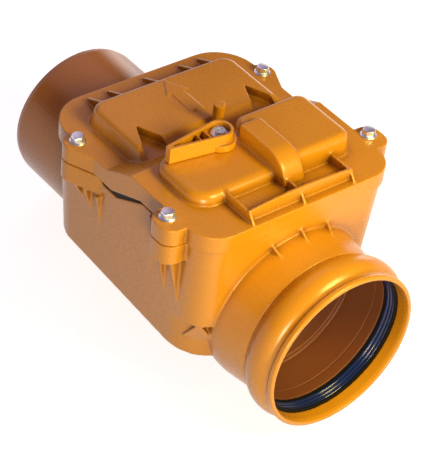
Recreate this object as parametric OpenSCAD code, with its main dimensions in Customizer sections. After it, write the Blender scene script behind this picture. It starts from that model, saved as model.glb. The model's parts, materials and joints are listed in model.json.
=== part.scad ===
// Backwater valve for 110 mm sewer pipe, with a swing flap and a hand lock.
// Millimetres, +X towards the inlet socket, +Z up, origin under the middle of the part.

/* [Pipe ends] */
// Outside diameter of the sewer pipe that the valve joins
pipe_d = 110; // [100:0.5:120]
// Wall of the spigot and of the neck
pipe_wall = 3.5; // [2.5:0.1:5]
// Length over both pipe ends
total_len = 310; // [290:1:340]
// Diametral clearance of the pipe in the socket
socket_play = 0.6; // [0.4:0.1:1]
// Length of the beaded socket end
socket_len = 31; // [28:1:36]
// Height of the bead over the pipe radius
bead_rise = 9; // [8:0.5:11]
// Length of the chamfer on the spigot end
spigot_chamfer = 5; // [2:0.5:8]

/* [Chamber] */
// Distance from the middle of the part to the rear wall at the rim
rear_reach = 85; // [80:1:92]
// Distance from the middle of the part to the front wall at the rim
front_reach = 98; // [94:1:104]
// Half width of the chamber at the rim
half_width = 80; // [76:0.5:88]
// Wall of the chamber
wall = 3.5; // [3:0.1:5]
// Inward lean of the walls, from the rim to the floor
draft = 5; // [2:0.5:8]
// Radius of the upper front corners
corner_r = 20; // [14:1:26]
// Radius of the lower front corners
low_corner_r = 32; // [24:1:40]
// Radius of the rear corners
rear_corner_r = 29; // [24:1:30]
// Height of the rear rim over the pipe axis
rear_rim = 61.5; // [56:0.5:66]
// Rise of the front rim over the rear rim
rim_step = 12.5; // [11:0.5:15]
// Depth of the chamber floor under the pipe axis
floor_drop = 28; // [24:1:34]
// Rise of the chamber floor from the front to the rear
floor_rise = 11; // [6:1:14]
// Height over the pipe axis at which the corners widen
shelf_rise = 5; // [0:1:12]

/* [Lid] */
// Height of the lid rim
lid_rim = 13; // [11:0.5:16]
// Wall of the lid
lid_wall = 3.5; // [3:0.1:4.5]
// Gap at the parting, filled by the gasket
parting = 0.7; // [0.5:0.1:1.2]
// Height of the rear plateau over the rear flange
plateau_h = 13.5; // [11:0.5:16]
// Half width of the rear plateau
plateau_half = 61; // [56:0.5:66]
// Height of the lever floor over the front flange
hump_h = 8.5; // [7:0.5:11]
// Height of the stop box over the lever floor
box_h = 8.5; // [6:0.5:10]
// Half width of the hump at the flange
hump_half = 68; // [64:0.5:70]
// Height of the fence in front of the hump
fence_h = 8; // [6:0.5:10]

/* [Fasteners] */
// Distance from the middle of the part to the rear lid bolts
rear_bolt_x = 45; // [43:0.5:47]
// Distance from the middle of the part to the front lid bolts
front_bolt_x = 62.5; // [60:0.5:65]
// Thread diameter of the lid bolts
bolt_d = 5; // [4:0.5:6]
// Radius of the bolt ears
ear_r = 10; // [9:0.1:10.5]
// Height of the ears on the chamber
ear_h = 15; // [13:0.5:18]

/* [Flap] */
// Radius of the clear way through the seat
seat_r = 43; // [40:0.5:44]
// Radius of the flap disc
flap_r = 48; // [46:0.5:49]
// Thickness of the flap disc
flap_t = 4; // [3:0.5:5]
// Height of the hinge axis over the pipe axis
hinge_rise = 76; // [75:0.5:77]
// Diameter of the hinge pin
pin_d = 4; // [3:0.5:4]
// Radial running clearance of the flap on its pin
run_fit = 0.08; // [0.05:0.01:0.1]

/* [Lever] */
// Distance from the middle of the part to the lock spindle
spindle_x = 25.5; // [24:0.5:28]
// Distance of the lock spindle from the centre plane
spindle_y = 17; // [16:0.5:18]
// Diameter of the lock spindle
spindle_d = 10; // [9:0.5:12]
// Length of the lever from its axis to its tip
lever_len = 43; // [38:1:46]
// Height of the lever
lever_h = 12; // [11:0.5:14]

/* [Hidden] */
$fn = 64;

eps = 0.01;
far = 400;
pipe_r = pipe_d / 2;
bore_r = pipe_r - pipe_wall;
sock_r = (pipe_d + socket_play) / 2;
neck_r = sock_r + pipe_wall;
bead_r = pipe_r + bead_rise;
axis_z = bead_r;
mouth_x = total_len / 2;
spigot_x = -total_len / 2;
socket_x = mouth_x - socket_len;
chamfer_depth = spigot_chamfer * tan(15);

// Seal groove in the bead, between the socket bore and the mouth lip
lip_len = 10.5;
groove_w = 12;
groove_depth = 4.5;
groove_x = mouth_x - lip_len;
groove_x0 = groove_x - groove_w;
groove_r = sock_r + groove_depth;

// Heights of the parting, of the lid flange and of the chamber floor
rear_z = axis_z + rear_rim;
front_z = rear_z + rim_step;
rear_top = rear_z + parting + lid_rim;
front_top = front_z + parting + lid_rim;
floor_z = axis_z - floor_drop;
shelf_z = axis_z + shelf_rise;

// The parting climbs from the rear rim to the front rim along this ramp
ramp_a = -3;
ramp_b = 28;
crest_a = -10;
crest_b = 16;

// Lid plan
lid_over = 1.6;
lid_x0 = -rear_reach - lid_over;
lid_x1 = front_reach + lid_over;
lid_half = half_width + lid_over;

// Bolts: x, side, y, rim height and how far the ear runs on along the wall
rear_bolt_y = half_width + 0.5;
front_bolt_y = half_width + 6;
bolt_hole_r = bolt_d / 2 + 0.3;
head_h = 1.1 * bolt_d;
head_r = 0.94 * bolt_d;
washer_r = 1.18 * bolt_d;
washer_t = 0.26 * bolt_d;
nut_h = 0.9 * bolt_d;
nut_r = head_r;
rear_run = 33;
front_run = 5;
BOLTS = [for (sy = [-1, 1]) each [[-rear_bolt_x, sy, rear_bolt_y, rear_z, rear_run],
                                  [front_bolt_x, sy, front_bolt_y, front_z, front_run]]];

// Ribs under the ears: distance from the bolt, reach past the wall, length, start under the rim
REAR_RIBS = [[7, 8, 16, ear_h], [16, 6, 20, ear_h], [27, 3.5, 28, ear_h]];
FRONT_RIBS = [[-22, 2.5, 48, 3], [-7, 7, 19, ear_h], [8.5, 8, 32, ear_h]];

// Flap and its frame; the seat ring stands in the inlet bore
frame_t = 6;
pad_x = front_reach - draft - wall;
ring_r = bore_r - 0.2;
oring_r = 1.5;
oring_seat = bore_r - 2 * oring_r;
frame_x = pad_x - frame_t;
oring_x = frame_x + frame_t / 2;
plate_half = 40;
plate_z = axis_z + bore_r - 4;
seal_t = 3;
flap_gap = 0.4;
disc_x = frame_x - flap_gap - seal_t - flap_t;
hinge_x = disc_x + flap_t;
hinge_z = axis_z + hinge_rise;
clamp_r = seat_r - 2;
clamp_t = 2;
arm_y = 28;
arm_w = 7;
hinge_ear_r = pin_d / 2 + 3;
plate_x = hinge_x + hinge_ear_r + flap_gap;
plate_t = pad_x - plate_x;
bracket_y = arm_y + arm_w / 2 + 0.5;
bracket_w = 4;
clip_t = 1;
pin_half = bracket_y + bracket_w + 3;
screw_z = axis_z + bore_r + 10;
screw_y = 20;

// Lock: the arm swings a quarter turn under the lever floor
hump_top = front_top + hump_h;
box_top = hump_top + box_h;
lever_gap = 0.6;
lever_z = hump_top + lever_gap;
push_gap = 0.6;
push_t = 8;
arm_reach = disc_x - push_gap - spindle_x;
arm_z = hinge_z - 6;
arm_t = 7;
push_drop = 30;
spindle_r = spindle_d / 2;
bush_r = spindle_r + run_fit;
cross_r = 1.3;

// Plan outline between x0 and x1 with round corners: r at the front and rear at the back
module rounded(x0, x1, half, r, rear = 0) {
    q = rear > 0 ? rear : r;
    lap = 1;
    translate([x0 + q, -half]) square([x1 - x0 - q - r, 2 * half]);
    translate([x0, -half + q]) square([q + lap, 2 * half - 2 * q]);
    translate([x1 - r - lap, -half + r]) square([r + lap, 2 * half - 2 * r]);
    for (side = [-1, 1]) {
        translate([x0 + q, side * (half - q)]) circle(q);
        translate([x1 - r, side * (half - r)]) circle(r);
    }
}

// Outline in the XZ plane, drawn out to both sides
module side_slab(points) {
    rotate([90, 0, 0]) linear_extrude(2 * far, center = true) polygon(points);
}

// Outline in the YZ plane, drawn out lengthwise
module cross_slab(points) {
    rotate([90, 0, 90]) linear_extrude(2 * far, center = true) polygon(points);
}

// Round bar along X between two stations
module bar_x(x0, x1, r) {
    translate([x0, 0, axis_z]) rotate([0, 90, 0]) cylinder(h = x1 - x0, r = r);
}

// Ring of a profile turned about the pipe axis; the profile is (radius, x)
module turned(points) {
    translate([0, 0, axis_z]) rotate([0, 90, 0]) rotate([0, 0, 90])
        rotate_extrude($fn = 96) polygon(points);
}

// Inset of the chamber walls at a height
function lean(z) = draft * (front_z - z) / (front_z - floor_z);

// Chamber block between two heights, its walls leaning inwards as they go down
module leaning_block(z0, z1, inset, r) {
    hull() for (z = [z0, z1 - eps]) translate([0, 0, z]) linear_extrude(eps)
        rounded(-rear_reach + lean(z) + inset, front_reach - lean(z) - inset, half_width - lean(z) - inset,
                r - inset, rear_corner_r - inset);
}

// Everything above the chamber floor, which rises towards the rear
module above_floor(dz) {
    side_slab([[-rear_reach, floor_z + floor_rise + dz], [front_reach, floor_z + dz], [front_reach, far],
               [-rear_reach, far]]);
}

// The chamber's rim is cut lower between the ears, which leaves an open joint over the waist
waist_a = -16;
waist_b = 40;
waist_drop = 4.5;

// Everything above the lid's lower edge
module above_parting(dz) {
    side_slab([[-far, rear_z + dz], [ramp_a, rear_z + dz], [ramp_b, front_z + dz],
               [far, front_z + dz], [far, far], [-far, far]]);
}

// Everything above the chamber's rim
module above_rim() {
    front_low = front_z - waist_drop / 2;
    side_slab([[-far, rear_z], [waist_a - waist_drop, rear_z], [waist_a, rear_z - waist_drop],
               [ramp_a + 3, rear_z - waist_drop], [ramp_b + 1, front_low], [waist_b, front_low],
               [waist_b + waist_drop, front_z], [far, front_z], [far, far], [-far, far]]);
}

// Plan of one ear: a round boss and the web that ties it to the wall
module ear_plan(bolt) {
    side = bolt[1];
    root = side * (half_width - wall);
    y = side * bolt[2];
    slope_at = 62;
    translate([bolt[0], y]) circle(ear_r);
    if (bolt[4] > ear_r)
        polygon([[bolt[0] - ear_r, root], [bolt[0] - ear_r, y],
                 [bolt[0] + ear_r * cos(slope_at), y + side * ear_r * sin(slope_at)],
                 [bolt[0] + bolt[4], root]]);
    else {
        translate([bolt[0] + bolt[4], y]) circle(ear_r);
        polygon([[bolt[0], root], [bolt[0], y + side * ear_r], [bolt[0] + bolt[4], y + side * ear_r],
                 [bolt[0] + bolt[4], root]]);
        polygon([[bolt[0] - ear_r, root], [bolt[0] - ear_r, y], [bolt[0] + bolt[4] + ear_r, y],
                 [bolt[0] + bolt[4] + ear_r, root]]);
    }
}

// Rib under an ear; it narrows to a point as it runs down the wall
module ear_rib(bolt, rib) {
    top = bolt[3] - rib[3] + eps;
    low = top - rib[2];
    x = bolt[0] + rib[0];
    wall_y = half_width - lean(top);
    foot_y = half_width - lean(low);
    side = bolt[1];
    rib_w = 1.5;
    tip_w = 0.4;
    intersection() {
        side_slab([[x - rib_w, top], [x + rib_w, top], [x + tip_w, low], [x - tip_w, low]]);
        cross_slab([[side * (wall_y - wall / 2), top], [side * (wall_y + rib[1]), top],
                    [side * (foot_y + tip_w), low], [side * (foot_y - wall / 2), low]]);
    }
}

// Triangular brace under a front corner; the lower corner is rounder, so the column stands out over it
module corner_brace(sy) {
    brace_h = 15;
    brace_half = 11;
    corner = corner_r * (1 - cos(45)) + lean(shelf_z);
    overhang = (low_corner_r - corner_r) * (sqrt(2) - 1);
    translate([front_reach - corner, sy * (half_width - corner), shelf_z])
        rotate([0, 0, sy * 45]) intersection() {
            rotate([90, 0, 0]) linear_extrude(far, center = true)
                polygon([[-3 * overhang, 1], [-0.5, 1], [-0.5, -1], [-overhang - 0.5, -brace_h],
                         [-3 * overhang, -brace_h]]);
            rotate([90, 0, 90]) linear_extrude(far, center = true)
                polygon([[-1, 1], [1, 1], [brace_half, -brace_h], [-brace_half, -brace_h]]);
        }
}

module body_shell() color("#d98a22") {
    channel_r = pipe_r + 1;
    channel_x = -rear_reach + 1;
    spigot_end = -rear_reach + draft + wall;
    collar_x = -rear_reach - 7;
    root_r = neck_r + 3.5;
    gusset_l = 9;
    gusset_h = 6;
    gusset_turn = 21;
    difference() {
        union() {
            difference() {
                union() {
                    leaning_block(shelf_z, front_z, 0, corner_r);
                    intersection() {
                        leaning_block(floor_z, shelf_z + eps, 0, low_corner_r);
                        above_floor(0);
                    }
                    for (bolt = BOLTS) {
                        translate([0, 0, bolt[3] - ear_h]) linear_extrude(ear_h) ear_plan(bolt);
                        for (rib = bolt[4] > ear_r ? REAR_RIBS : FRONT_RIBS) ear_rib(bolt, rib);
                    }
                    for (side = [-1, 1]) corner_brace(side);
                }
                above_rim();
                leaning_block(shelf_z + wall, front_z + 1, wall, corner_r);
                intersection() {
                    leaning_block(floor_z + wall, shelf_z + wall + 1, wall, low_corner_r);
                    above_floor(wall);
                }
            }
            bar_x(spigot_x, spigot_end, pipe_r);
            bar_x(collar_x, spigot_end, channel_r);
            intersection() {
                bar_x(channel_x, front_reach - draft, channel_r);
                translate([-far, -far, axis_z - far]) cube([2 * far, 2 * far, far]);
            }
            turned([[0, pad_x], [root_r, pad_x], [root_r, front_reach], [neck_r, socket_x], [0, socket_x]]);
            translate([pad_x, -plate_half, axis_z + bore_r])
                cube([wall + 1, 2 * plate_half, front_z - axis_z - bore_r - 3]);
            for (a = [-gusset_turn, 0, gusset_turn])
                translate([0, 0, axis_z]) rotate([-a, 0, 0]) translate([front_reach - wall, 0, root_r - 1])
                    rotate([90, 0, 0]) linear_extrude(2, center = true)
                        polygon([[0, 0], [gusset_l + wall, 0], [wall, gusset_h], [0, gusset_h]]);
        }
        bar_x(spigot_x - 1, front_reach + 2, bore_r);
        bar_x(front_reach + 1, socket_x + 1, sock_r);
        turned([[pipe_r - chamfer_depth, spigot_x], [pipe_r, spigot_x + spigot_chamfer],
                [pipe_r + 1, spigot_x + spigot_chamfer], [pipe_r + 1, spigot_x - 1],
                [pipe_r - chamfer_depth, spigot_x - 1]]);
        for (y = [-screw_y, screw_y])
            translate([pad_x - 1, y, screw_z]) rotate([0, 90, 0]) cylinder(h = wall + 1, r = screw_r + 0.05);
        for (bolt = BOLTS) {
            translate([bolt[0], bolt[1] * bolt[2], bolt[3] - ear_h - 1])
                cylinder(h = ear_h + 2, r = bolt_hole_r);
            translate([bolt[0], bolt[1] * bolt[2], bolt[3] - ear_h - 1])
                cylinder(h = nut_h + 1, r = nut_r + 0.2, $fn = 6);
        }
    }
}

// Socket end: a rounded bead over the seal groove, then a narrow lip at the mouth
module inlet_socket() color("#dd8f24") {
    lip_r = sock_r + 2;
    lip_w = 5;
    sleeve_r = sock_r + 4.6;
    rim_r = sleeve_r + 1.4;
    step = 2;
    round_r = 7;
    bead_half = 11;
    bead_x = socket_x + step + bead_half;
    difference() {
        union() {
            turned([[sock_r, socket_x], [neck_r, socket_x], [neck_r, socket_x + step],
                    [sleeve_r, socket_x + step], [sleeve_r, mouth_x], [sock_r, mouth_x]]);
            turned([for (a = [0:9:180]) [bead_r - round_r + round_r * sin(a), bead_x - bead_half * cos(a)]]);
            turned([[sock_r, mouth_x - lip_w], [rim_r - 1, mouth_x - lip_w], [rim_r, mouth_x - lip_w + 1],
                    [rim_r, mouth_x - 1], [rim_r - 1, mouth_x], [sock_r, mouth_x]]);
        }
        turned([[0, groove_x], [lip_r, groove_x - 1], [lip_r, mouth_x - 3], [lip_r + 1.2, mouth_x + 1],
                [0, mouth_x + 1]]);
        turned([[0, groove_x0], [groove_r, groove_x0], [groove_r, groove_x], [0, groove_x]]);
    }
}

// Rubber lip seal of the socket: a channel ring that lies in the groove
seal_flange = 1.4;
seal_back = 2.5;
module socket_seal() color("#15161c") {
    lip = sock_r + 0.1;
    back = sock_r + seal_back;
    x0 = groove_x0 + 0.2;
    x1 = groove_x - 0.2;
    turned([[lip, x0], [groove_r, x0], [groove_r, x1], [lip, x1],
            [lip, x1 - seal_flange], [back, x1 - seal_flange],
            [back, x0 + seal_flange], [lip, x0 + seal_flange]]);
}

// Stiff ring that holds the seal open
module seal_ring() color("#20284a") {
    x0 = groove_x0 + 0.3 + seal_flange;
    x1 = groove_x - 0.3 - seal_flange;
    turned([[sock_r + 0.3, x0], [sock_r + seal_back, x0], [sock_r + seal_back, x1], [sock_r + 0.3, x1]]);
}

// Seat ring with its hinge brackets and the plate that screws to the front wall
module flap_frame() color("#c8c9c4") {
    difference() {
        union() {
            bar_x(frame_x, frame_x + frame_t, ring_r);
            translate([plate_x, -plate_half + 1, plate_z])
                cube([plate_t, 2 * plate_half - 2, hinge_z + hinge_ear_r - plate_z]);
            for (side = [-1, 1])
                translate([0, side * (bracket_y + bracket_w / 2), 0]) rotate([90, 0, 0])
                    linear_extrude(bracket_w, center = true) {
                        translate([hinge_x, hinge_z]) circle(hinge_ear_r);
                        translate([hinge_x, hinge_z - hinge_ear_r])
                            square([plate_x - hinge_x + 1, 2 * hinge_ear_r]);
                    }
        }
        bar_x(frame_x - 1, pad_x + 1, seat_r);
        translate([hinge_x, 0, hinge_z]) rotate([90, 0, 0])
            cylinder(h = 2 * pin_half, r = pin_d / 2 + 0.02, center = true);
        for (y = [-screw_y, screw_y])
            translate([plate_x - 1, y, screw_z]) rotate([0, 90, 0])
                cylinder(h = plate_t + 2, r = screw_r + 0.2);
        turned([[oring_seat, oring_x - oring_r], [ring_r + 1, oring_x - oring_r],
                [ring_r + 1, oring_x + oring_r], [oring_seat, oring_x + oring_r]]);
    }
}

// Round seal between the seat ring and the bore
module frame_oring() color("#1b1b1b") {
    translate([0, 0, axis_z]) rotate([0, 90, 0]) translate([0, 0, oring_x])
        rotate_extrude($fn = 96) translate([bore_r - oring_r, 0]) circle(oring_r - 0.05, $fn = 24);
}

// Pan-head screw with a cross recess; its head stands on z = 0 and its shaft runs down
screw_r = 2;
screw_head_r = 3.8;
screw_head_t = 2.4;
module pan_screw(shaft) {
    slot_l = 1.25 * screw_head_r;
    slot_w = 0.9;
    slot_t = 1.5;
    translate([0, 0, -shaft]) cylinder(h = shaft + eps, r = screw_r);
    difference() {
        cylinder(h = screw_head_t, r = screw_head_r);
        for (a = [0, 90]) rotate([0, 0, a])
            translate([-slot_l / 2, -slot_w / 2, screw_head_t - slot_t]) cube([slot_l, slot_w, 2 * slot_t]);
    }
}

// Screws that hold the frame to the front wall
module frame_screws() color("#c9ccd0") {
    for (y = [-screw_y, screw_y])
        translate([plate_x, y, screw_z]) rotate([0, -90, 0]) pan_screw(plate_t + wall - 1);
}

module hinge_pin() color("#c3c6ca") {
    translate([hinge_x, 0, hinge_z]) rotate([90, 0, 0])
        difference() {
            cylinder(h = 2 * pin_half, r = pin_d / 2, center = true);
            for (side = [-1, 1])
                translate([0, 0, side * (bracket_y + bracket_w + 0.2 + clip_t / 2)]) difference() {
                    cylinder(h = clip_t + 0.2, r = pin_d, center = true);
                    cylinder(h = clip_t + 1, r = pin_d / 2 - 0.6, center = true);
                }
        }
}

// Spring clips at both ends of the hinge pin
module hinge_clips() color("#5c5f63") {
    for (side = [-1, 1])
        translate([hinge_x, side * (bracket_y + bracket_w + 0.2 + clip_t / 2), hinge_z]) rotate([90, 0, 0])
            difference() {
                cylinder(h = clip_t, r = pin_d / 2 + 2.2, center = true);
                cylinder(h = clip_t + 1, r = pin_d / 2 - 0.55, center = true);
                translate([0, -pin_d, 0]) cube([pin_d - 1.3, 2 * pin_d, clip_t + 1], center = true);
            }
}

// Swing flap: a disc hung from two arms, with a cross of ribs on its back
module flap_plate() color("#d58a2b") {
    rib_h = 3;
    rib_top = arm_z - push_drop - 8;
    difference() {
        union() {
            bar_x(disc_x, disc_x + flap_t, flap_r);
            for (side = [-1, 1]) {
                translate([0, side * arm_y, 0]) rotate([90, 0, 0]) linear_extrude(arm_w, center = true) {
                    translate([hinge_x, hinge_z]) circle(hinge_ear_r);
                    polygon([[hinge_x - hinge_ear_r, hinge_z], [hinge_x, hinge_z], [hinge_x, axis_z + 30],
                             [disc_x + 1, axis_z - 12], [disc_x - rib_h, axis_z - 8], [disc_x - rib_h, rib_top],
                             [hinge_x - hinge_ear_r, rib_top + rib_h]]);
                }
            }
            translate([disc_x - rib_h, -arm_y, axis_z - 1.5]) cube([rib_h + 1, 2 * arm_y, 3]);
        }
        translate([hinge_x, 0, hinge_z]) rotate([90, 0, 0])
            cylinder(h = 2 * pin_half, r = pin_d / 2 + run_fit, center = true);
        for (a = [0:90:270]) translate([0, 0, axis_z]) rotate([a, 0, 0])
            translate([disc_x - 1, 0, clamp_r - 5]) rotate([0, 90, 0]) cylinder(h = flap_t + 2, r = 1.6);
    }
}

module flap_seal() color("#1d1d1f") {
    turned([[clamp_r + 0.2, disc_x + flap_t], [flap_r, disc_x + flap_t],
            [flap_r, disc_x + flap_t + seal_t - 1], [flap_r - 1, disc_x + flap_t + seal_t],
            [clamp_r + 0.2, disc_x + flap_t + seal_t]]);
}

module clamp_ring() color("#c4c7ca") {
    difference() {
        turned([[clamp_r - 10, disc_x + flap_t], [clamp_r, disc_x + flap_t],
                [clamp_r, disc_x + flap_t + clamp_t], [clamp_r - 10, disc_x + flap_t + clamp_t]]);
        for (a = [0:90:270]) translate([0, 0, axis_z]) rotate([a, 0, 0])
            translate([disc_x, 0, clamp_r - 5]) rotate([0, 90, 0]) cylinder(h = 20, r = 1.6);
    }
}

// Rivets through the clamp ring and the disc
module clamp_rivets() color("#b9bcc0") {
    for (a = [0:90:270]) translate([0, 0, axis_z]) rotate([a, 0, 0])
        translate([disc_x - 1, 0, clamp_r - 5]) rotate([0, 90, 0]) {
            cylinder(h = flap_t + clamp_t + 2, r = 1.5);
            translate([0, 0, flap_t + clamp_t + 1]) cylinder(h = 1, r = 2.6);
            cylinder(h = 1, r = 2.6);
        }
}

// Lid stations along X and across
plateau_x0 = lid_x0 + 24;
plateau_x1 = ramp_a - 5;
valley_x = plateau_x1 + 10;
valley_z = rear_top + 6.5;
hump_x0 = spindle_x - 12;
hump_x1 = front_reach - 27.5;
box_x1 = hump_x1 + 2.5;
box_y1 = hump_half - 4;
band_x0 = spindle_x + 3;
band_y0 = -3;
band_y1 = 14.5;
band_rise = 4;
band_turn = hump_x1 - 12;
fence_x = front_reach - 5;
fence_half = 44;
fence_arch = 2.5;
post_r = 4.2;
post_h = 23;
rib_t = 2;
plateau_top = rear_top + plateau_h;
boss_r = spindle_r + 4;
boss_z0 = arm_z + arm_t + 4;
pocket_y = 47;
pocket_half = 9;
pocket_len = 18;
buried = lid_wall + 1;

// Round fillet of radius r at the middle one of three points
function unit(v) = v / norm(v);
function fillet(a, b, c, r, n = 6) = r <= 0 ? [b] : let(
    u = unit(a - b),
    v = unit(c - b),
    half = acos(u * v) / 2,
    mid = b + unit(u + v) * r / sin(half),
    p = b + u * r / tan(half) - mid,
    q = b + v * r / tan(half) - mid,
    from = atan2(p[1], p[0]),
    turn = (atan2(q[1], q[0]) - from + 540) % 360 - 180)
    [for (i = [0:n]) mid + r * [cos(from + turn * i / n), sin(from + turn * i / n)]];

// Outline with each corner rounded by its own radius
function soften(pts, radii) = let(n = len(pts))
    [for (i = [0:n - 1]) each fillet(pts[(i + n - 1) % n], pts[i], pts[(i + 1) % n], radii[i])];

// Block with round plan corners, leaning sides and soft top edges
module soft_block(x, y, z0, top, slope, plan_r, edge_r, inset) {
    steps = 5;
    r = max(edge_r - inset, 0.5);
    mid = (y[0] + y[1]) / 2;
    half = (y[1] - y[0]) / 2;
    hull() {
        translate([0, mid, z0]) linear_extrude(eps)
            rounded(x[0] + inset, x[1] - inset, half - inset, plan_r - inset, $fn = 40);
        for (i = [0:steps]) {
            side = inset + slope + r * (1 - cos(90 * i / steps));
            translate([0, mid, top - inset - r + r * sin(90 * i / steps) - eps]) linear_extrude(eps)
                rounded(x[0] + side, x[1] - side, half - side, plan_r - side, $fn = 40);
        }
    }
}

// Lid between the parting lowered by drop and the flange line lowered by dz
module flange_band(dz, drop) {
    low = parting - drop;
    side_slab([[-far, rear_z + low], [ramp_a, rear_z + low], [ramp_b, front_z + low], [far, front_z + low],
               [far, front_top - dz], [crest_b, front_top - dz],
               [crest_a, rear_top - dz], [-far, rear_top - dz]]);
}

// Rear plateau; its front runs down to the valley behind the lever
module plateau(inset) {
    slope = 4;
    half = plateau_half + slope;
    end = hump_x0 + 24;
    z0 = rear_top - buried;
    fall = plateau_top - valley_z;
    run = valley_x - plateau_x1;
    difference() {
        soft_block([plateau_x0 - slope, end], [-half, half], z0, plateau_top, slope, 15, 5, inset);
        translate([-inset, 0, -inset])
            side_slab(soften([[plateau_x1 - run, plateau_top + fall], [valley_x, valley_z], [far, valley_z],
                              [far, far], [plateau_x1 - run, far]], [0, 4, 0, 0, 0]));
    }
}

// Front hump with the lever floor, and the stop box on its right
module hump(inset) {
    z0 = rear_top - buried;
    hump_edge = 6.5;
    box_edge = 5;
    soft_block([hump_x0, hump_x1], [-hump_half, hump_half - 1], z0, hump_top, 1.5, 17, hump_edge, inset);
    soft_block([hump_x0, box_x1], [band_y0 + 2, box_y1], z0, box_top, 2, 10, box_edge, inset);
}

// Arched band along the stop box, which stops the lever
module band(inset) {
    r = box_top + band_rise - front_top - inset;
    z0 = front_top - buried;
    x0 = band_x0 + inset;
    translate([0, (band_y0 + band_y1) / 2, 0]) rotate([90, 0, 0])
        linear_extrude(band_y1 - band_y0 - 2 * inset, center = true) intersection() {
            union() {
                translate([band_turn, front_top]) circle(r);
                translate([x0, z0]) square([band_turn - x0, r + front_top - z0]);
                translate([x0, z0]) square([band_turn + r - x0, front_top - z0]);
            }
            translate([0, z0]) square(far);
        }
}

// Triangular pockets in the front edge of the plateau
module pocket(grow, z) {
    for (side = [-1, 1]) translate([0, side * pocket_y, z]) linear_extrude(far)
        polygon([[plateau_x1 - pocket_len - 2 * grow, 0], [plateau_x1 + 2 + grow, -pocket_half - grow],
                 [valley_x + 1 + grow, -pocket_half - grow], [valley_x + 1 + grow, pocket_half + grow],
                 [plateau_x1 + 2 + grow, pocket_half + grow]]);
}

// Plain arrow for the flow direction
module flow_arrow() {
    tip = plateau_x0 + 6;
    barb = tip + 15;
    tail = plateau_x1 - 11;
    translate([0, 0, plateau_top - 0.5]) linear_extrude(1.3)
        polygon([[tip, 0], [barb, -9], [barb, -5], [tail, -5], [tail, 5], [barb, 5], [barb, 9]]);
}

// Upright rib plate in the XZ plane
module rib_xz(y, points) {
    translate([0, y, 0]) rotate([90, 0, 0]) linear_extrude(rib_t, center = true) polygon(points);
}

module lid() color("#d08526") {
    difference() {
        union() {
            intersection() {
                flange_band(0, 0);
                linear_extrude(far) {
                    rounded(lid_x0, lid_x1, lid_half, corner_r + lid_over, rear_corner_r + lid_over);
                    for (bolt = BOLTS) ear_plan(bolt);
                }
            }
            plateau(0);
            hump(0);
            band(0);
            flow_arrow();
            translate([valley_x - 2, band_y0 + 6, valley_z - 1]) cylinder(h = post_h + 1, r = post_r);
            for (y = [-48, -31, 0, 31, 48])
                rib_xz(y, [[lid_x0 + 7, rear_top - 1], [plateau_x0 + 1, rear_top - 1],
                           [plateau_x0 + 1, plateau_top - 3], [lid_x0 + 7, rear_top + 2.5]]);
            translate([fence_x - rib_t, 0, front_top - 1]) rotate([90, 0, 90]) linear_extrude(rib_t)
                polygon([[fence_half, 0], for (i = [4:-1:-4]) [fence_half * i / 4,
                         1 + fence_h + fence_arch * (1 - i * i / 16)], [-fence_half, 0]]);
            for (y = [-fence_half + 1, 0, fence_half - 1])
                rib_xz(y, [[hump_x1 - 5, front_top - 1], [fence_x + 5, front_top - 1],
                           [fence_x + 5, front_top + 0.8],
                           [fence_x, front_top + fence_h - 1], [hump_x1 - 5, hump_top - 0.5]]);
            translate([spindle_x, -spindle_y, boss_z0]) cylinder(h = hump_top - boss_z0, r = boss_r);
        }
        difference() {
            union() {
                intersection() {
                    flange_band(lid_wall, 2 * lid_rim);
                    linear_extrude(far) rounded(lid_x0 + lid_wall + lid_over, lid_x1 - lid_wall - lid_over,
                                                lid_half - lid_wall - lid_over, corner_r - lid_wall,
                                                rear_corner_r - lid_wall);
                }
                plateau(lid_wall);
                hump(lid_wall);
                band(lid_wall);
            }
            pocket(lid_wall, valley_z - lid_wall);
            translate([spindle_x, -spindle_y, boss_z0]) cylinder(h = far, r = boss_r);
        }
        pocket(0, valley_z);
        translate([spindle_x, -spindle_y, 0]) cylinder(h = far, r = bush_r);
        for (bolt = BOLTS)
            translate([bolt[0], bolt[1] * bolt[2], bolt[3]])
                cylinder(h = lid_rim + 2 * parting, r = bolt_hole_r);
    }
}

// Rubber strip that fills the joint, notched around the bolts
module lid_gasket() color("#1c1c1e") {
    edge = 1.5;
    difference() {
        intersection() {
            difference() {
                above_rim();
                above_parting(parting);
            }
            linear_extrude(far) difference() {
                rounded(-rear_reach + edge, front_reach - edge, half_width - edge, corner_r - edge,
                        rear_corner_r - edge);
                rounded(-rear_reach + wall, front_reach - wall, half_width - wall, corner_r - wall,
                        rear_corner_r - wall);
            }
        }
        for (bolt = BOLTS)
            translate([bolt[0], bolt[1] * bolt[2], bolt[3] - lid_rim]) cylinder(h = far, r = bolt_hole_r);
    }
}

module lid_bolts() color("#c9ccd2") {
    shank = lid_rim + parting + ear_h - 1;
    for (bolt = BOLTS) translate([bolt[0], bolt[1] * bolt[2], bolt[3] + parting + lid_rim]) {
        translate([0, 0, -shank]) cylinder(h = shank + eps, r = bolt_d / 2);
        cylinder(h = washer_t, r = washer_r);
        cylinder(h = head_h, r = head_r, $fn = 6);
    }
}

// Nuts held in the pockets under the ears
module lid_nuts() color("#b4b8be") {
    for (bolt = BOLTS) translate([bolt[0], bolt[1] * bolt[2], bolt[3] - ear_h]) difference() {
        cylinder(h = nut_h, r = nut_r, $fn = 6);
        translate([0, 0, -1]) cylinder(h = nut_h + 2, r = bolt_d / 2 + 0.05);
    }
}

// Moves a child to the spindle axis at a height
module at_spindle(z) {
    translate([spindle_x, -spindle_y, z]) children();
}

// Lever: a wedge-shaped tray with a round hub on a wider foot
hub_r = 9;
foot_r = 11.8;
foot_h = 5;
tip_half = 2.5;
lever_wall = 2;
lever_floor = 3;
hub_floor = 7;
square_w = 7;
disc_t = 1;
screw_len = 12;

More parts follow.
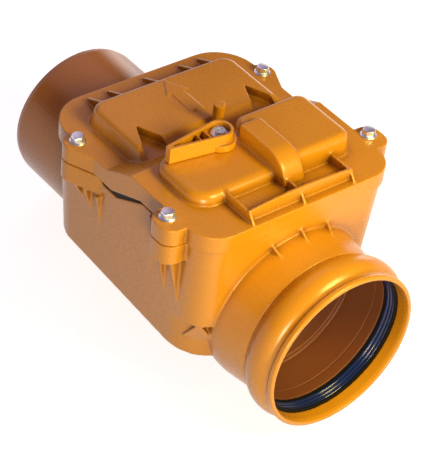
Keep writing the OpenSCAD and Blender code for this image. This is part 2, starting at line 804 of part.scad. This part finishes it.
// Plan of the lever, shrunk by inset; it points to -Y
module lever_plan(inset) {
    circle(hub_r - inset);
    polygon([[-hub_r * 0.97 + inset, -2], [hub_r * 0.97 - inset, -2],
             [max(tip_half - inset, 0.1), -lever_len + 2 * inset],
             [-max(tip_half - inset, 0.1), -lever_len + 2 * inset]]);
}

module lever() color("#f2a30f") at_spindle(lever_z) {
    square_hole = square_w + 0.1;
    rib_h = lever_h - 1.5;
    difference() {
        union() {
            linear_extrude(lever_h) lever_plan(0);
            cylinder(h = foot_h, r = foot_r);
        }
        difference() {
            translate([0, 0, lever_floor]) linear_extrude(lever_h) lever_plan(lever_wall);
            cylinder(h = hub_floor, r = hub_r);
            for (y = [-lever_len * 0.26, -lever_len * 0.42])
                translate([-hub_r, y, 0]) cube([2 * hub_r, lever_wall / 2, rib_h]);
        }
        translate([-square_hole / 2, -square_hole / 2, -1]) cube([square_hole, square_hole, hub_floor + 2]);
    }
}

module lever_washer() color("#bfc3c9") at_spindle(lever_z + hub_floor) {
    difference() {
        cylinder(h = disc_t, r = hub_r - lever_wall - 0.8);
        translate([0, 0, -1]) cylinder(h = disc_t + 2, r = screw_r + 0.2);
    }
}

// Screw that holds the lever on the spindle
module lever_screw() color("#d0d3d8") at_spindle(lever_z + hub_floor + disc_t) {
    pan_screw(screw_len);
}

// Spindle with a square head, a ring groove in the boss and a clip groove under it
oring_up = 9;
cord_r = 0.93;
clip_drop = 1.4;
clip_h = 1;
module lock_spindle() color("#b9bdc3") at_spindle(0) {
    difference() {
        union() {
            translate([0, 0, arm_z]) cylinder(h = lever_z - arm_z, r = spindle_r);
            translate([-square_w / 2, -square_w / 2, lever_z - 1])
                cube([square_w, square_w, hub_floor + 0.9]);
        }
        translate([0, 0, lever_z + hub_floor + disc_t - screw_len - 1])
            cylinder(h = 2 * screw_len, r = screw_r + 0.05);
        translate([0, 0, boss_z0 + oring_up - cord_r - 0.27]) difference() {
            cylinder(h = 2 * cord_r + 0.54, r = spindle_r + 1);
            translate([0, 0, -1]) cylinder(h = 5, r = spindle_r - 2 * cord_r - 0.04);
        }
        translate([0, 0, boss_z0 - clip_drop - 0.1]) difference() {
            cylinder(h = clip_h + 0.2, r = spindle_r + 1);
            translate([0, 0, -1]) cylinder(h = clip_h + 3, r = spindle_r - 0.8);
        }
        translate([0, 0, arm_z + arm_t / 2]) rotate([0, 90, 0])
            cylinder(h = 4 * spindle_d, r = cross_r, center = true);
    }
}

module spindle_oring() color("#161616") at_spindle(boss_z0 + oring_up) {
    rotate_extrude($fn = 64) translate([spindle_r - cord_r, 0]) circle(cord_r, $fn = 24);
}

// Retaining ring under the lid boss
module spindle_clip() color("#5a5d61") at_spindle(boss_z0 - clip_drop) {
    difference() {
        cylinder(h = clip_h, r = spindle_r + 2.4);
        translate([0, 0, -1]) cylinder(h = clip_h + 2, r = spindle_r - 0.75);
        translate([-2, 0, -1]) cube([4, 2 * spindle_d, clip_h + 2]);
    }
}

// Arm that swings the pusher behind the flap
module lock_arm() color("#3a3c40") at_spindle(arm_z) {
    hub_r = spindle_r + 4;
    push_w = 8;
    difference() {
        union() {
            cylinder(h = arm_t, r = hub_r);
            translate([-push_w / 2, -arm_reach + 1, 0]) cube([push_w, arm_reach - 1, arm_t]);
            translate([-push_w / 2, -arm_reach, -push_drop]) cube([push_w, push_t, push_drop + arm_t]);
            translate([-1.5, -arm_reach + push_t - 1, -push_drop * 0.6]) rotate([90, 0, 90])
                linear_extrude(3) polygon([[0, 0], [14, push_drop * 0.6 + 1], [0, push_drop * 0.6 + 1]]);
        }
        translate([0, 0, -1]) cylinder(h = arm_t + 2, r = spindle_r + 0.05);
        translate([0, 0, arm_t / 2]) rotate([0, 90, 0])
            cylinder(h = 4 * spindle_d, r = cross_r, center = true);
    }
}

module arm_pin() color("#a9adb3") at_spindle(arm_z + arm_t / 2) {
    rotate([0, 90, 0]) cylinder(h = spindle_d + 7, r = cross_r - 0.05, center = true);
}

body_shell();
inlet_socket();
socket_seal();
seal_ring();
flap_frame();
frame_oring();
frame_screws();
hinge_pin();
hinge_clips();
flap_plate();
flap_seal();
clamp_ring();
clamp_rivets();
lid();
lid_gasket();
lid_bolts();
lid_nuts();
lever();
lever_screw();
lever_washer();
lock_spindle();
spindle_oring();
lock_arm();
arm_pin();
spindle_clip();
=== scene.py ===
import json
import math

import bpy
from mathutils import Matrix, Vector


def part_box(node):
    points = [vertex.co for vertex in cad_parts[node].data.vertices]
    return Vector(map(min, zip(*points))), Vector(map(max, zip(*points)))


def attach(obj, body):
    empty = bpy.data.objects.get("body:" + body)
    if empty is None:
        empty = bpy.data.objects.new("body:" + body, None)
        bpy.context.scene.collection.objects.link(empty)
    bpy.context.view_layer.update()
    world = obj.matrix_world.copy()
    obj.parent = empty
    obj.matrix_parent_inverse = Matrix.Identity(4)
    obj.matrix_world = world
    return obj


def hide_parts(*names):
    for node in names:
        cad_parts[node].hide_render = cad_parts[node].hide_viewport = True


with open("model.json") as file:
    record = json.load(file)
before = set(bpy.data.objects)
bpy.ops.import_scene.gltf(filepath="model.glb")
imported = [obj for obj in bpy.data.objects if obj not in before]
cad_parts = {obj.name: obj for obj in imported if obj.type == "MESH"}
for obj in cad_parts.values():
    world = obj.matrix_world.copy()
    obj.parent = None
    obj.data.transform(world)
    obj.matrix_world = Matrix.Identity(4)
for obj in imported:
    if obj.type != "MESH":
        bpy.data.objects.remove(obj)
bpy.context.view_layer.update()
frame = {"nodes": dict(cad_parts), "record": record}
socketLow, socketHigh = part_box("inlet_socket")
pipeAxis = (socketLow[2] + socketHigh[2]) / 2  # height of the line through both pipe ends
print("frame loaded:", len(frame["nodes"]), "nodes")


def toLinear(hexColour):
    parts = [int(hexColour[i:i + 2], 16) / 255 for i in (1, 3, 5)]
    return [c / 12.92 if c <= 0.04045 else ((c + 0.055) / 1.055) ** 2.4 for c in parts] + [1.0]


# a setting is one of the node's properties, or else one of its inputs by name or number
def addNode(material, kind, settings=None, links=None):
    tree = material.node_tree
    node = tree.nodes.new(kind)
    for key, value in (settings or {}).items():
        if isinstance(key, str) and hasattr(node, key):
            setattr(node, key, value)
        else:
            node.inputs[key].default_value = value
    for socket, source in (links or {}).items():
        tree.links.new(source, node.inputs[socket])
    return node


def newMaterial(name):
    material = bpy.data.materials.new(name)
    material.use_nodes = True
    shader = material.node_tree.nodes["Principled BSDF"]
    return material, shader


# painted shade: the inside of each bore and the spigot's end are painted deep brown where shade falls on them;
# the real plastic may well be one orange all through; the bores and the spigot's end look brown in the
# photograph, by shade or by colour, and are drawn so: this is matched to that picture, and the real plastic
# may well be one orange all through
boreShadeLook = {"colour": "#733f1b", "spigot": 0.0533, "socket": 0.0562, "change": 0.01, "dulled": 0.25,
            "pipe": "#904712", "pipeEnd": -0.125, "pipeRoot": -0.09, "pipeTint": 0.5}


def paintBoreShade(material, place, colour, skin, boreShade):
    fromAxis = addNode(material, "ShaderNodeVectorMath", {"operation": "SUBTRACT", 1: (0, 0, pipeAxis)},
                       {0: place.outputs["Object"]})
    across = addNode(material, "ShaderNodeVectorMath", {"operation": "MULTIPLY", 1: (0, 1, 1)},
                     {0: fromAxis.outputs["Vector"]})
    radius = addNode(material, "ShaderNodeVectorMath", {"operation": "LENGTH"}, {0: across.outputs["Vector"]})
    along = addNode(material, "ShaderNodeSeparateXYZ", {}, {"Vector": place.outputs["Object"]})
    limit = addNode(material, "ShaderNodeMapRange",
                    {"From Min": -boreShade["change"], "From Max": boreShade["change"],
                     "To Min": boreShade["spigot"], "To Max": boreShade["socket"]}, {"Value": along.outputs["X"]})
    within = addNode(material, "ShaderNodeMath", {"operation": "LESS_THAN"},
                     {0: radius.outputs["Value"], 1: limit.outputs["Result"]})
    # painted shade: the colour darkens towards the spigot's end
    pipeEnd = addNode(material, "ShaderNodeMapRange",
                      {"From Min": boreShade["pipeEnd"], "From Max": boreShade["pipeRoot"],
                       "To Min": boreShade["pipeTint"], "To Max": 0.0}, {"Value": along.outputs["X"]})
    spigotShaded = addNode(material, "ShaderNodeMixRGB", {"Color2": toLinear(boreShade["pipe"])},
                      {"Fac": pipeEnd.outputs["Result"], "Color1": colour})
    # painted shade: inside each bore the colour turns deep brown
    boreShaded = addNode(material, "ShaderNodeMixRGB", {"Color2": toLinear(boreShade["colour"])},
                    {"Fac": within.outputs["Value"], "Color1": spigotShaded.outputs["Color"]})
    dulled = addNode(material, "ShaderNodeMath", {"operation": "MULTIPLY_ADD", 1: boreShade["dulled"]},
                     {0: within.outputs["Value"], 2: skin})
    return boreShaded.outputs["Color"], dulled.outputs["Value"]


# painted shade: the piece's own corners are browned by its own occlusion, where shade falls;
# only the piece's own corners count, so that nothing changes as the lever or the flap moves
cornerShadeLook = {"mm": 9, "colour": "#5e2f10", "tint": 0.75, "shut": 0.35, "open": 0.95, "rays": 8}


def paintCornerShade(material, colour, cornerShade):
    # painted shade: the colour is mixed towards dark brown where the piece's own shape closes in
    openness = addNode(material, "ShaderNodeAmbientOcclusion",
                       {"samples": cornerShade["rays"], "only_local": True, "Distance": cornerShade["mm"] / 1000})
    depth = addNode(material, "ShaderNodeMapRange",
                    {"From Min": cornerShade["shut"], "From Max": cornerShade["open"], "To Min": cornerShade["tint"], "To Max": 0.0},
                    {"Value": openness.outputs["AO"]})
    cornerShaded = addNode(material, "ShaderNodeMixRGB", {"Color2": toLinear(cornerShade["colour"])},
                     {"Fac": depth.outputs["Result"], "Color1": colour})
    return cornerShaded.outputs["Color"]


# moulded plastic: an even body colour, faint flow clouds, a fine spark-eroded grain and a satin skin;
# grain is drawn at 1.2 mm, because real mould grain of about 0.2 mm is too fine to show
plainLook = {"deep": "#cc8c15", "light": "#d29119", "cloudMm": 45, "cloudFrom": 0.3, "cloudTo": 0.72,
             "grainMm": 1.2, "grainFrom": 0.3, "grainTo": 0.7, "grainDepth": 0.008, "grainHighMm": 0.2,
             "rough": 0.27, "glossier": 0.02, "duller": 0.03, "index": 1.53}


def mouldedPlastic(name, look):
    material, shader = newMaterial(name)
    place = addNode(material, "ShaderNodeTexCoord")
    clouds = addNode(material, "ShaderNodeTexNoise",
                     {"Scale": 1000 / look["cloudMm"], "Detail": 3.0, "Roughness": 0.5},
                     {"Vector": place.outputs["Object"]})
    tint = addNode(material, "ShaderNodeValToRGB", {}, {"Fac": clouds.outputs["Fac"]})
    low, high = tint.color_ramp.elements
    low.position, high.position = look["cloudFrom"], look["cloudTo"]
    low.color, high.color = toLinear(look["deep"]), toLinear(look["light"])
    grain = addNode(material, "ShaderNodeTexNoise", {"Scale": 1000 / look["grainMm"], "Detail": 2.0},
                    {"Vector": place.outputs["Object"]})
    gloss = addNode(material, "ShaderNodeMapRange",
                    {"From Min": look["grainFrom"], "From Max": look["grainTo"],
                     "To Min": look["rough"] - look["glossier"], "To Max": look["rough"] + look["duller"]},
                    {"Value": grain.outputs["Fac"]})
    bump = addNode(material, "ShaderNodeBump",
                   {"Strength": look["grainDepth"], "Distance": look["grainHighMm"] / 1000},
                   {"Height": grain.outputs["Fac"]})
    colour, skin = tint.outputs["Color"], gloss.outputs["Result"]
    # painted shade inside each bore and towards the spigot's end
    if "boreShade" in look:
        colour, skin = paintBoreShade(material, place, colour, skin, look["boreShade"])
    # painted shade in the piece's own corners
    if "cornerShade" in look:
        colour = paintCornerShade(material, colour, look["cornerShade"])
    material.node_tree.links.new(colour, shader.inputs["Base Color"])
    material.node_tree.links.new(skin, shader.inputs["Roughness"])
    material.node_tree.links.new(bump.outputs["Normal"], shader.inputs["Normal"])
    shader.inputs["IOR"].default_value = look["index"]
    return material


# zinc-plated steel: bright and slightly blue, with a faint crystal mottle from the plating bath;
# turned stainless steel is greyer, and its fine turning marks make a like mottle
steelGloss = {"glossier": 0.08, "duller": 0.12}


def mottledSteel(name, colour, rough, mottleMm):
    material, shader = newMaterial(name)
    place = addNode(material, "ShaderNodeTexCoord")
    mottle = addNode(material, "ShaderNodeTexNoise", {"Scale": 1000 / mottleMm, "Detail": 3.0},
                     {"Vector": place.outputs["Object"]})
    gloss = addNode(material, "ShaderNodeMapRange",
                    {"To Min": rough - steelGloss["glossier"], "To Max": rough + steelGloss["duller"]},
                    {"Value": mottle.outputs["Fac"]})
    material.node_tree.links.new(gloss.outputs["Result"], shader.inputs["Roughness"])
    shader.inputs["Base Color"].default_value = toLinear(colour)
    shader.inputs["Metallic"].default_value = 1.0
    return material


# moulded EPDM rubber is near black and dull, with a fine talc-dusted grain; the polypropylene ring is navy
# and polished by its mould, so the lamps show in it as streaks. Grain is drawn coarser than real, to show
evenGrain = {"mm": 0.8, "highMm": 0.2, "spread": 0.06}


def evenMoulding(name, colour, rough, grainDepth, index):
    material, shader = newMaterial(name)
    place = addNode(material, "ShaderNodeTexCoord")
    grain = addNode(material, "ShaderNodeTexNoise", {"Scale": 1000 / evenGrain["mm"], "Detail": 2.0},
                    {"Vector": place.outputs["Object"]})
    gloss = addNode(material, "ShaderNodeMapRange",
                    {"To Min": rough - evenGrain["spread"], "To Max": rough + evenGrain["spread"]},
                    {"Value": grain.outputs["Fac"]})
    bump = addNode(material, "ShaderNodeBump",
                   {"Strength": grainDepth, "Distance": evenGrain["highMm"] / 1000},
                   {"Height": grain.outputs["Fac"]})
    material.node_tree.links.new(gloss.outputs["Result"], shader.inputs["Roughness"])
    material.node_tree.links.new(bump.outputs["Normal"], shader.inputs["Normal"])
    shader.inputs["Base Color"].default_value = toLinear(colour)
    shader.inputs["IOR"].default_value = index
    return material


# these looks carry painted shade in the corners of each moulded piece
cornerShadedLook = dict(plainLook, cornerShade=cornerShadeLook)
leverLook = dict(plainLook, cornerShade=dict(cornerShadeLook, mm=4), deep="#d29115", light="#d89618", cloudMm=20, rough=0.25)
slotMaterials = {
    # the body also carries painted shade inside each bore and towards the spigot's end
    "pvc_body": mouldedPlastic("moulded_pvc_body", dict(cornerShadedLook, boreShade=boreShadeLook)),
    "pvc_lid": mouldedPlastic("moulded_pvc_lid", dict(cornerShadedLook, cloudMm=38)),
    "pvc_lever": mouldedPlastic("moulded_pvc_lever", leverLook),
    "zinc": mottledSteel("zinc_plated_steel", "#e6eff8", 0.36, 1.5),
    "stainless": mottledSteel("stainless_steel_turned", "#c5c6c8", 0.28, 2.0),
    "rubber": evenMoulding("epdm_rubber_moulded", "#0b0a0a", 0.7, 0.1, 1.35),
    "blue_ring": evenMoulding("polypropylene_ring_moulded", "#152a66", 0.15, 0.02, 1.5),
    "grey_plastic": mouldedPlastic("grey_pom_moulded", dict(plainLook, deep="#a9aaa6", light="#b3b4b0")),
    "black_plastic": mouldedPlastic("black_pa_moulded", dict(plainLook, deep="#2b2c2f", light="#323337")),
}
for part in frame["record"]["subparts"]:
    node = frame["nodes"][part["node"]]
    node.data.materials.clear()
    node.data.materials.append(slotMaterials[part["material_slot"]])
print("materials made and CAD nodes dressed")


def selectOnly(*objs):
    bpy.ops.object.select_all(action="DESELECT")
    for obj in objs:
        obj.select_set(True)
    bpy.context.view_layer.objects.active = objs[0]


def applyModifier(obj, kind, settings):
    modifier = obj.modifiers.new(kind.lower(), kind)
    for key, value in settings.items():
        setattr(modifier, key, value)
    bpy.context.view_layer.objects.active = obj
    bpy.ops.object.modifier_apply(modifier=modifier.name)


def seat(obj, body, nodeName, slot):
    obj.data.materials.clear()
    obj.data.materials.append(slotMaterials[slot])
    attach(obj, body)
    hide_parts(nodeName)
    print(obj.name, "made:", len(obj.data.polygons), "faces")


# fins under the front ears: the CAD ribs drawn out to the length that the photograph shows
finSettings = {"places": [{"x": 0.056, "reach": 0.0075, "tip": 0.084},
                          {"x": 0.071, "reach": 0.0085, "tip": 0.082}],
               "top": 0.124, "half": 0.0014, "tipHalf": 0.0004, "buried": 0.0015,
               "rimWall": 0.08, "rimZ": 0.138, "lean": 0.04}

# pieces of moulded plastic: the CAD solids with the small rounded edges that the mould gives them;
# soft zones of the lid are rounded further, between two corners of a box
mouldedSettings = {
    "chamber": {"node": "body_shell", "body": "housing", "slot": "pvc_body",
                "voxel": 0.0007, "smooth": 3, "triangles": 196000, "fins": finSettings["places"]},
    "socketEnd": {"node": "inlet_socket", "body": "housing", "slot": "pvc_body",
                  "voxel": 0.0006, "smooth": 4, "triangles": 150000},
    "lidTop": {"node": "lid", "body": "housing", "slot": "pvc_lid",
               "voxel": 0.0005, "smooth": 4, "triangles": 196000, "soft": [
                   {"what": "band", "low": (0.024, -0.009, 0.153), "high": (0.083, 0.02, 0.18), "smooth": 40},
                   {"what": "hump", "low": (0.0145, -0.07, 0.155), "high": (0.078, 0.07, 0.18), "smooth": 24}]},
    "turnLever": {"node": "lever", "body": "lever", "slot": "pvc_lever",
                  "voxel": 0.0003, "smooth": 5, "triangles": 60000},
}
mouldMerge = 0.00001  # corners of the CAD solid's loose triangles nearer than this are one
mouldPull = 0.5  # how far each smoothing step draws a point towards its neighbours


def earFin(place, side):
    bpy.ops.object.select_all(action="DESELECT")
    bpy.ops.mesh.primitive_cube_add(size=2)
    fin = bpy.context.active_object
    for corner in fin.data.vertices:
        across, outer, upper = corner.co.x, corner.co.y > 0, corner.co.z > 0
        z = finSettings["top"] if upper else place["tip"]
        wall = finSettings["rimWall"] - finSettings["lean"] * (finSettings["rimZ"] - z)
        stand = (place["reach"] if upper else finSettings["tipHalf"]) if outer else -finSettings["buried"]
        half = finSettings["half"] if upper else finSettings["tipHalf"]
        corner.co = (place["x"] + across * half, side * (wall + stand), z)
    if side < 0:
        fin.data.flip_normals()
    return fin


def softenZone(obj, zone):
    inside = [v.index for v in obj.data.vertices
              if all(a <= c <= b for a, c, b in zip(zone["low"], v.co, zone["high"]))]
    group = obj.vertex_groups.new(name=zone["what"])
    group.add(inside, 1.0, "REPLACE")
    applyModifier(obj, "SMOOTH", {"factor": mouldPull, "iterations": zone["smooth"],
                                  "vertex_group": group.name})
    obj.vertex_groups.clear()


def mouldPiece(name, piece):
    source = frame["nodes"][piece["node"]]
    obj = bpy.data.objects.new(name, source.data.copy())
    obj.matrix_world = source.matrix_world
    bpy.context.scene.collection.objects.link(obj)
    fins = [earFin(place, side) for place in piece.get("fins", []) for side in (-1, 1)]
    selectOnly(obj, *fins)
    if fins:
        bpy.ops.object.join()
    bpy.ops.object.mode_set(mode="EDIT")
    bpy.ops.mesh.select_all(action="SELECT")
    bpy.ops.mesh.remove_doubles(threshold=mouldMerge)
    bpy.ops.object.mode_set(mode="OBJECT")
    applyModifier(obj, "REMESH", {"mode": "VOXEL", "voxel_size": piece["voxel"], "use_smooth_shade": True})
    applyModifier(obj, "SMOOTH", {"factor": mouldPull, "iterations": piece["smooth"]})
    for zone in piece.get("soft", []):
        softenZone(obj, zone)
    triangles = len(obj.data.polygons) * 2  # the remesh leaves quads
    if triangles > piece["triangles"]:
        applyModifier(obj, "DECIMATE", {"ratio": piece["triangles"] / triangles})
    seat(obj, piece["body"], piece["node"], piece["slot"])


for name, piece in mouldedSettings.items():
    mouldPiece(name, piece)


# turned shapes: an outline of (radius, height) points, spun about an axis through the centre
spinMerge = 0.000005
turnedEdge = math.radians(40)  # edges sharper than this stay sharp


def spun(name, outline, axis, centre, steps, closed):
    mesh = bpy.data.meshes.new(name)
    if axis == "X":
        corners = [(h, 0, centre[2] + r) for r, h in outline]
    else:
        corners = [(centre[0] + r, centre[1], h) for r, h in outline]
    edges = [(i, i + 1) for i in range(len(corners) - 1)] + ([(len(corners) - 1, 0)] if closed else [])
    mesh.from_pydata(corners, edges, [])
    obj = bpy.data.objects.new(name, mesh)
    bpy.context.scene.collection.objects.link(obj)
    selectOnly(obj)
    bpy.ops.object.mode_set(mode="EDIT")
    bpy.ops.mesh.select_all(action="SELECT")
    bpy.ops.mesh.spin(steps=steps, angle=2 * math.pi, center=centre,
                      axis=(1, 0, 0) if axis == "X" else (0, 0, 1))
    bpy.ops.mesh.select_all(action="SELECT")
    bpy.ops.mesh.remove_doubles(threshold=spinMerge)
    bpy.ops.mesh.normals_make_consistent(inside=False)
    bpy.ops.object.mode_set(mode="OBJECT")
    bpy.ops.object.shade_smooth_by_angle(angle=turnedEdge)
    return obj


# navy ring in the lip seal, with three polished ridges around its inside
ringLow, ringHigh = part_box("seal_ring")
ringSettings = {"from": ringLow[0], "to": ringHigh[0], "outer": ringHigh[1], "inner": 0.0556,
                "ridges": 3, "depth": 0.0009, "fullness": 0.7, "points": 24, "steps": 128}
ringOutline = [(ringSettings["outer"], ringSettings["from"])]
for i in range(ringSettings["points"] + 1):
    share = i / ringSettings["points"]
    wave = abs(math.sin(math.pi * ringSettings["ridges"] * share)) ** ringSettings["fullness"]
    ringOutline.append((ringSettings["inner"] + ringSettings["depth"] * (1 - wave),
                        ringSettings["from"] + share * (ringSettings["to"] - ringSettings["from"])))
ringOutline.append((ringSettings["outer"], ringSettings["to"]))
ring = spun("navyRing", ringOutline, "X", (0, 0, pipeAxis), ringSettings["steps"], True)
seat(ring, "housing", "seal_ring", "blue_ring")

# lid bolts: a hexagon with its corners turned off, on a flange that slopes to its edge
boltSettings = {"rearY": 0.0805, "frontY": 0.086, "shank": 0.0025, "down": 0.0277, "high": 0.0055,
                "hex": 0.0047, "chamferDown": 0.0011, "crown": 0.94, "crownDown": 0.0001, "face": 0.88,
                "flange": 0.0059, "rim": 0.0003, "rimFrom": 0.0002, "rimTo": 0.0006, "rimTop": 0.0009,
                "slopeAt": 0.8, "slopeHigh": 0.0016, "middleHigh": 0.0019,
                "edgeBevel": 0.00018, "hexSteps": 48, "flangeSteps": 64, "spare": 0.001, "clear": 1.1}
boltsLow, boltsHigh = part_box("lid_bolts")
rearX, rearZ = boltsLow[0] + boltSettings["flange"], boltsLow[2] + boltSettings["down"]
frontX, frontZ = boltsHigh[0] - boltSettings["flange"], boltsHigh[2] - boltSettings["high"]
boltPlaces = [(rearX, -boltSettings["rearY"], rearZ), (rearX, boltSettings["rearY"], rearZ),
              (frontX, -boltSettings["frontY"], frontZ), (frontX, boltSettings["frontY"], frontZ)]


def hexHead(x, y, z, bolt):
    bpy.ops.object.select_all(action="DESELECT")
    bpy.ops.mesh.primitive_cylinder_add(vertices=6, radius=bolt["hex"], depth=bolt["high"],
                                        location=(x, y, z + bolt["high"] / 2),
                                        rotation=(0, 0, math.radians(30)))
    hexagon = bpy.context.active_object
    bpy.ops.object.transform_apply(location=True, rotation=True, scale=True)
    top, wide = z + bolt["high"], bolt["hex"] * bolt["clear"]
    flat = bolt["hex"] * math.cos(math.radians(30))
    outline = [(0, z - bolt["spare"]), (wide, z - bolt["spare"]), (wide, top - bolt["chamferDown"]),
               (flat * bolt["crown"], top - bolt["crownDown"]), (flat * bolt["face"], top), (0, top)]
    turning = spun("turning", outline, "Z", (x, y, 0), bolt["hexSteps"], False)
    applyModifier(hexagon, "BOOLEAN", {"operation": "INTERSECT", "object": turning, "solver": "EXACT"})
    bpy.data.objects.remove(turning)
    applyModifier(hexagon, "BEVEL", {"width": bolt["edgeBevel"], "segments": 2, "limit_method": "ANGLE"})
    return hexagon


def flangeAndShank(x, y, z, bolt):
    edge = bolt["flange"]
    outline = [(0, z - bolt["down"]), (bolt["shank"], z - bolt["down"]), (bolt["shank"], z),
               (edge - bolt["rim"], z), (edge, z + bolt["rimFrom"]), (edge, z + bolt["rimTo"]),
               (edge - bolt["rim"], z + bolt["rimTop"]), (edge * bolt["slopeAt"], z + bolt["slopeHigh"]),
               (0, z + bolt["middleHigh"])]
    return spun("flange", outline, "Z", (x, y, 0), bolt["flangeSteps"], False)


boltParts = []
for x, y, z in boltPlaces:
    boltParts += [hexHead(x, y, z, boltSettings), flangeAndShank(x, y, z, boltSettings)]
selectOnly(*boltParts)
bpy.ops.object.join()
bolts = bpy.context.view_layer.objects.active
bolts.name = "lidBolts"
bpy.ops.object.shade_smooth_by_angle(angle=math.radians(30))
seat(bolts, "housing", "lid_bolts", "zinc")

# floor and sweep of lit white paper, an even sky and five lamps
studio = {"floorSize": 6.0, "floorDrop": 0.0005, "wallHigh": 0.7, "wallSides": 96,
          "paper": "#d0d0d0", "paperRough": 0.9, "glow": "#ffffff", "glowStrength": 0.8,
          "world": "#f4ccf4", "worldStrength": 0.21, "aim": (0.02, 0, 0.1),
          "lights": {
              "key": {"place": (0.45, 0.12, 0.46), "size": 0.2, "power": 3.3, "colour": "#ffe888"},
              "front": {"place": (1.0, 0.25, 0.12), "size": 0.2, "power": 0.3, "colour": "#ffe08a"},
              "fill": {"place": (0.62, -0.4, 0.2), "size": 0.2, "power": 3.4, "colour": "#ffe8bc"},
              "back": {"place": (-0.7, 0.05, 0.7), "size": 0.9, "power": 1.5, "colour": "#ffdcf0"},
              "rear": {"place": (-0.6, 0.9, 0.25), "size": 0.5, "power": 1.5, "colour": "#fff0e4"}}}
bpy.ops.object.select_all(action="DESELECT")
bpy.ops.mesh.primitive_plane_add(size=studio["floorSize"], location=(0, 0, -studio["floorDrop"]))
floor = bpy.context.active_object
floor.name = "floor"
bpy.ops.object.transform_apply(location=True, rotation=True, scale=True)
bpy.ops.object.select_all(action="DESELECT")
bpy.ops.mesh.primitive_cylinder_add(vertices=studio["wallSides"], radius=studio["floorSize"] / 2,
                                    depth=studio["wallHigh"], end_fill_type="NOTHING",
                                    location=(0, 0, studio["wallHigh"] / 2))
sweep = bpy.context.active_object
sweep.name = "sweep"
bpy.ops.object.transform_apply(location=True, rotation=True, scale=True)
paperPaint, paperShader = newMaterial("matt_white_paper")
paperShader.inputs["Base Color"].default_value = toLinear(studio["paper"])
paperShader.inputs["Roughness"].default_value = studio["paperRough"]
paperShader.inputs["Emission Color"].default_value = toLinear(studio["glow"])
paperShader.inputs["Emission Strength"].default_value = studio["glowStrength"]
paperPaint.cycles.emission_sampling = "NONE"  # the paper is no lamp, so no samples are spent on it
for paper in (floor, sweep):
    paper.data.materials.append(paperPaint)
    paper.visible_diffuse = False  # it shows in the gloss, but throws no soft light back

world = bpy.data.worlds.new("studio")
world.use_nodes = True
sky = world.node_tree.nodes["Background"]
sky.inputs["Color"].default_value = toLinear(studio["world"])
sky.inputs["Strength"].default_value = studio["worldStrength"]
bpy.context.scene.world = world

for name, lamp in studio["lights"].items():
    light = bpy.data.lights.new(name, "AREA")
    light.size = lamp["size"]
    light.energy = lamp["power"]
    light.color = toLinear(lamp["colour"])[:3]
    holder = bpy.data.objects.new(name, light)
    holder.location = lamp["place"]
    towards = Vector(studio["aim"]) - Vector(lamp["place"])
    holder.rotation_euler = towards.to_track_quat("-Z", "Y").to_euler()
    bpy.context.scene.collection.objects.link(holder)

# camera at the photograph's viewing angle: it looks at the target, is turned by roll and slid a little
photoCamera = {"azimuth": 47.42, "elevation": 39.59, "roll": 7.54, "distance": 1.41463,
               "target": (0.00885, 0, 0.064), "slide": (-0.00431, 0.00103), "lens": 167.92, "sensor": 36}
azimuth = math.radians(photoCamera["azimuth"])
elevation = math.radians(photoCamera["elevation"])
roll = math.radians(photoCamera["roll"])
back = Vector((math.sin(azimuth) * math.cos(elevation),
               -math.cos(azimuth) * math.cos(elevation), math.sin(elevation)))
level = (-back).cross(Vector((0, 0, 1))).normalized()
upright = level.cross(-back)
right = math.cos(roll) * level + math.sin(roll) * upright
up = -math.sin(roll) * level + math.cos(roll) * upright
stand = Vector(photoCamera["target"]) + photoCamera["distance"] * back
stand -= photoCamera["slide"][0] * right + photoCamera["slide"][1] * up
lens = bpy.data.cameras.new("photoCamera")
lens.sensor_fit = "HORIZONTAL"
lens.sensor_width = photoCamera["sensor"]
lens.lens = photoCamera["lens"]
camera = bpy.data.objects.new("photoCamera", lens)
camera.matrix_world = Matrix((right, up, back)).transposed().to_4x4()
camera.location = stand
bpy.context.scene.collection.objects.link(camera)
bpy.context.scene.camera = camera
bpy.context.scene.view_settings.view_transform = "Standard"
print("studio and camera set")

bpy.context.view_layer.update()
